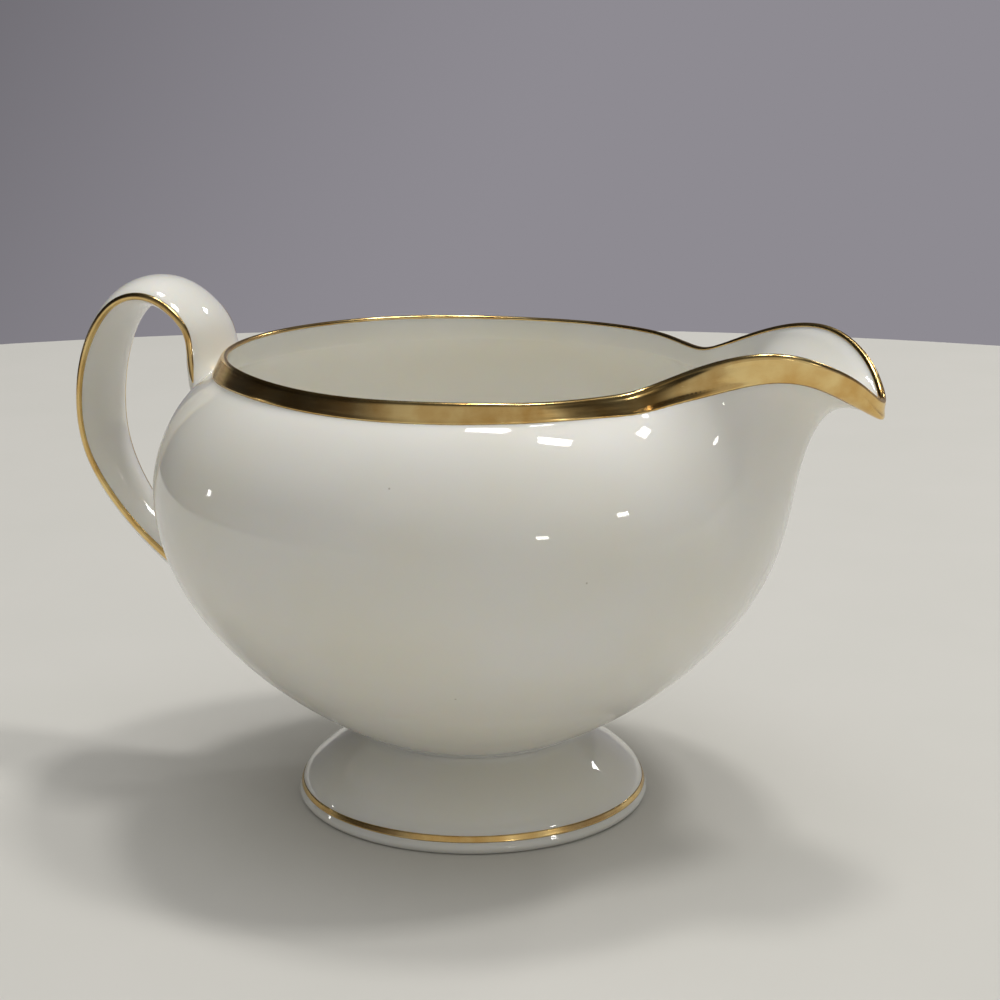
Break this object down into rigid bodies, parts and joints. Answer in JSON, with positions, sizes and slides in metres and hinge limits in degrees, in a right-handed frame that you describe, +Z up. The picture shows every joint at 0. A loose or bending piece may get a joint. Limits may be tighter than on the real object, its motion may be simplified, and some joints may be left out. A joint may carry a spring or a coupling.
{
  "type": "cream jug",
  "caption": "Footed china cream jug with a round bowl, a wide pulled pouring lip, a high loop strap handle and burnished gilt lines on the rim, handle edges and foot.",
  "frame": {"origin": "on the table, at the centre of the foot's standing ring, on the common axis of foot and bowl", "axes": "+Z up; +X out through the pouring lip, with the handle towards -X; the jug is the same on both sides of the plane Y = 0"},
  "size_m": [0.1458, 0.1084, 0.0888],
  "materials": {
    "china": "clear glossy glaze over ivory-white bone china",
    "slip": "fired luting slip under the glaze",
    "gilding": "burnished fired gold"
  },
  "bodies": {
    "root": {"bowl": "china", "foot": "china", "handle": "china", "foot_slip": "slip", "handle_upper_slip": "slip", "handle_lower_slip": "slip", "rim_gilding": "gilding", "handle_gilding_left": "gilding", "handle_gilding_right": "gilding", "foot_gilding": "gilding"}
  },
  "joints": []
}
